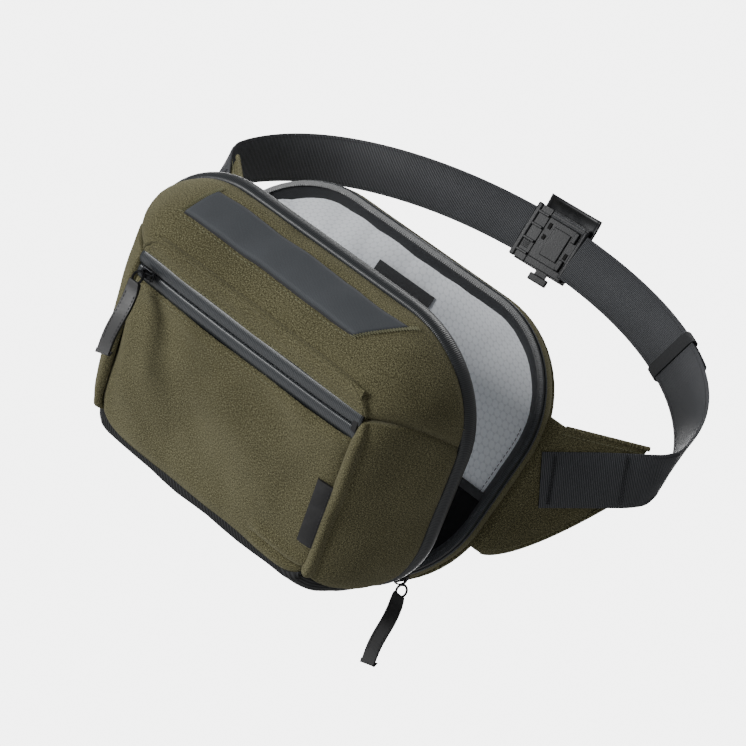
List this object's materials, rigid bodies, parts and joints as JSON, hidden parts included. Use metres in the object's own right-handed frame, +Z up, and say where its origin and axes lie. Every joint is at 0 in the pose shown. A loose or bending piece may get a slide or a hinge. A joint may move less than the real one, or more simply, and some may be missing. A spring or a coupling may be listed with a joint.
{
  "type": "waist pack",
  "caption": "Padded waist pack with an open clamshell compartment, front zip pocket, grab handle, wings, webbing belt and buckle.",
  "frame": {"origin": "centre of the back panel's flat rear face", "axes": "+X to the right when facing the front, +Y towards the wearer, +Z up"},
  "size_m": [0.4159, 0.3666, 0.3253],
  "materials": {
    "olive_fabric": "woven melange, matt",
    "base_fabric": "black ribbed weave",
    "zip_tape": "coated water-resistant tape, satin",
    "zip_coil": "moulded coil",
    "ripstop_lining": "light grey hexagon ripstop",
    "black_mesh": "fine stretch mesh",
    "binding": "brushed binding tape",
    "webbing": "ribbed 38 mm webbing",
    "rubber": "coated strap, satin",
    "black_metal": "black plated die-casting",
    "black_plastic": "fine moulded texture"
  },
  "bodies": {
    "back": {"back_panel": "olive_fabric", "back_rim_wall": "olive_fabric", "back_zip_tape": "zip_tape", "back_zip_coil": "zip_coil", "back_lining": "ripstop_lining", "lining_binding": "binding", "inner_pocket": "black_mesh", "inner_pocket_hem": "binding", "inner_label_strip": "binding", "hinge_gusset": "base_fabric", "main_slider": "black_metal"},
    "front_shell": {"front_panel": "olive_fabric", "upper_strip": "olive_fabric", "top_panel": "olive_fabric", "side_panel_right": "olive_fabric", "side_panel_left": "olive_fabric", "base_panel": "base_fabric", "front_rim_tape": "zip_tape", "front_zip_coil": "zip_coil", "front_lining": "ripstop_lining", "pocket_tape_lower": "zip_tape", "pocket_tape_upper": "zip_tape", "pocket_zip_coil": "zip_coil", "pocket_lining": "ripstop_lining", "handle_band": "webbing", "loop_tab": "rubber", "pocket_zip_stop": "rubber"},
    "pocket_slider": {"pocket_slider": "black_metal"},
    "pocket_pull": {"pocket_pull_ring": "black_metal", "pocket_pull_tab": "rubber"},
    "main_pull": {"main_pull_ring": "black_metal", "main_pull_tab": "rubber"},
    "left_belt": {"left_wing": "olive_fabric", "left_webbing": "webbing", "buckle_hook": "black_plastic"},
    "right_belt": {"right_wing": "olive_fabric", "right_webbing": "webbing", "belt_tail": "webbing", "strap_keeper": "binding", "buckle_plate": "black_plastic", "buckle_cover": "black_plastic"},
    "buckle_button": {"buckle_button": "black_plastic"}
  },
  "joints": [
    {"name": "shell_hinge", "type": "hinge", "parent": "back", "child": "front_shell", "pos_m": [0, -0.023, -0.106], "axis": [1, 0, 0], "range_deg": [-30, 45]},
    {"name": "pocket_zip_slide", "type": "slide", "parent": "front_shell", "child": "pocket_slider", "axis": [1, 0, 0], "range_m": [0, 0.165]},
    {"name": "pocket_pull_hinge", "type": "hinge", "parent": "pocket_slider", "child": "pocket_pull", "pos_m": [-0.0845, -0.16808, -0.01252], "axis": [1, 0, 0], "range_deg": [-110, 20]},
    {"name": "main_pull_hinge", "type": "hinge", "parent": "back", "child": "main_pull", "pos_m": [0.12571, -0.018, -0.08971], "axis": [0, 1, 0], "range_deg": [-120, 25]},
    {"name": "left_wing_hinge", "type": "hinge", "parent": "back", "child": "left_belt", "pos_m": [-0.1465, -0.005, 0], "axis": [0, 0, 1], "range_deg": [0, 50]},
    {"name": "right_wing_hinge", "type": "hinge", "parent": "back", "child": "right_belt", "pos_m": [0.1465, -0.005, 0], "axis": [0, 0, 1], "range_deg": [-50, 0]},
    {"name": "buckle_button_slide", "type": "slide", "parent": "right_belt", "child": "buckle_button", "axis": [-0.053, -0.0047, 0.9986], "range_m": [0, 0.003], "stiffness_N_per_m": 400, "springref_m": -0.001}
  ]
}
